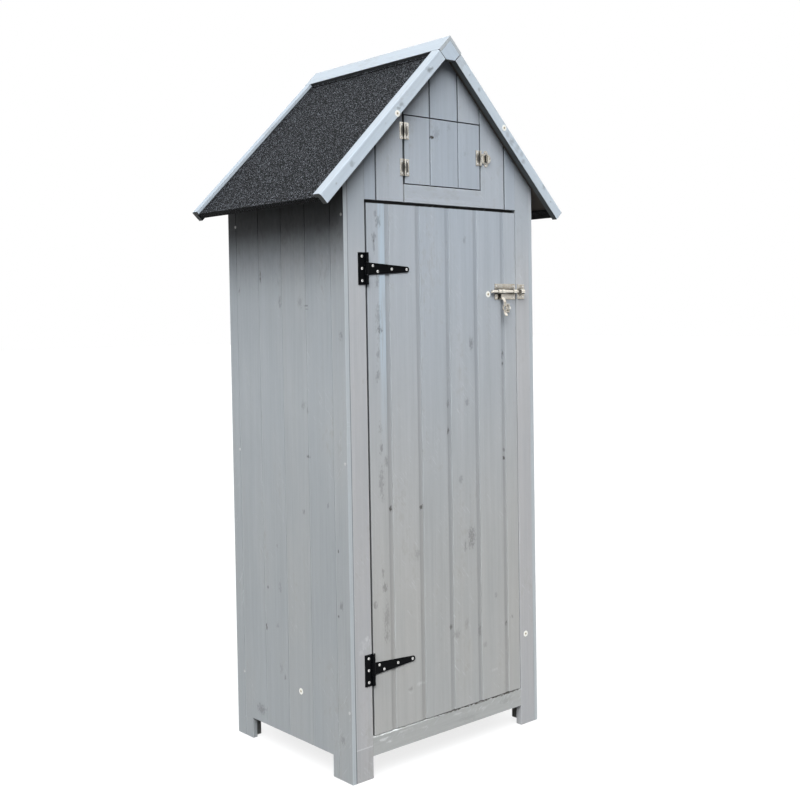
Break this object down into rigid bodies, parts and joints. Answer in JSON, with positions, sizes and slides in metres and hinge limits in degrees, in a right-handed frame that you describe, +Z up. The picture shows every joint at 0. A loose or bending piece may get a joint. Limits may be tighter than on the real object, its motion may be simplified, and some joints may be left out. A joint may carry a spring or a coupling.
{
  "type": "garden tool shed",
  "caption": "Narrow upright garden tool shed of grey painted planks with a steep felted gable roof, a plank door on black T hinges with a padlock bolt, and a small gable hatch.",
  "frame": {"origin": "on the ground, under the middle of the roof's outline", "axes": "+Z up, the door and hatch face -Y, +X to the right seen from the front"},
  "size_m": [0.782, 0.5574, 1.75],
  "materials": {
    "wall_paint": "thin grey-blue paint over fir",
    "trim_paint": "pale grey paint over fir",
    "inner_timber": "thin grey stain over fir",
    "roof_deck": "dark-stained sheathing board",
    "roof_felt": "mineral-faced bitumen felt",
    "black_iron": "black satin paint",
    "nickel": "nickel plate",
    "zinc": "bright zinc"
  },
  "bodies": {
    "shed": {"apex_plate_back": "trim_paint", "apex_plate_front": "trim_paint", "attic_floor": "inner_timber", "back_wall_battens": "inner_timber", "back_wall_boards": "wall_paint", "bargeboard_back_left": "trim_paint", "bargeboard_back_right": "trim_paint", "bargeboard_front_left": "trim_paint", "bargeboard_front_right": "trim_paint", "bargeboard_nails": "zinc", "bolt_keeper": "nickel", "bottom_rail": "wall_paint", "corner_posts": "inner_timber", "floor_bearers": "inner_timber", "floor_boards": "inner_timber", "frame_screws": "zinc", "front_stile_left": "wall_paint", "front_stile_right": "wall_paint", "gable_boards": "wall_paint", "hatch_hinge_leaves": "nickel", "hatch_sill": "wall_paint", "hatch_stops": "inner_timber", "head_batten": "inner_timber", "hinge_leaf_lower": "black_iron", "hinge_leaf_upper": "black_iron", "hinge_pins": "zinc", "left_wall_boards": "wall_paint", "lower_shelf": "inner_timber", "ridge_beam": "inner_timber", "ridge_cap_left": "trim_paint", "ridge_cap_right": "trim_paint", "ridge_felt": "roof_felt", "right_wall_boards": "wall_paint", "roof_deck_left": "roof_deck", "roof_deck_right": "roof_deck", "roof_felt_left": "roof_felt", "roof_felt_right": "roof_felt", "shelf_cleats": "inner_timber", "turn_base": "nickel", "upper_shelf": "inner_timber", "wall_plates": "inner_timber", "wall_screws": "zinc"},
    "door": {"door_boards": "wall_paint", "door_ledges": "inner_timber", "door_braces": "inner_timber", "hinge_strap_lower": "black_iron", "hinge_strap_upper": "black_iron", "bolt_plate": "nickel", "bolt_staple": "nickel", "door_screws": "zinc"},
    "bolt": {"bolt_rod": "nickel"},
    "lever": {"bolt_lever": "nickel"},
    "hatch": {"hatch_boards": "wall_paint", "hatch_battens": "inner_timber", "hatch_hinge_flaps": "nickel", "hasp_leaf": "nickel", "hasp_pin": "zinc", "hatch_screws": "zinc"},
    "hasp": {"hasp_flap": "nickel"},
    "turn_staple": {"turn_knob": "nickel"}
  },
  "joints": [
    {"name": "door_swing", "type": "hinge", "parent": "shed", "child": "door", "pos_m": [-0.2425, -0.2507, 0.72], "axis": [0, 0, -1], "range_deg": [0, 150]},
    {"name": "bolt_slide", "type": "slide", "parent": "door", "child": "bolt", "axis": [1, 0, 0], "range_m": [0, 0.024]},
    {"name": "lever_swing", "type": "hinge", "parent": "bolt", "child": "lever", "pos_m": [0.1884, -0.25465, 1.136], "axis": [-1, 0, 0], "range_deg": [0, 110]},
    {"name": "hatch_swing", "type": "hinge", "parent": "shed", "child": "hatch", "pos_m": [-0.12325, -0.2491, 1.47], "axis": [0, 0, -1], "range_deg": [0, 105]},
    {"name": "hasp_swing", "type": "hinge", "parent": "hatch", "child": "hasp", "pos_m": [0.12325, -0.2489, 1.469], "axis": [0, 0, -1], "range_deg": [0, 150]},
    {"name": "staple_turn", "type": "hinge", "parent": "shed", "child": "turn_staple", "pos_m": [0.14175, -0.2465, 1.469], "axis": [0, -1, 0], "range_deg": [0, 90]}
  ]
}
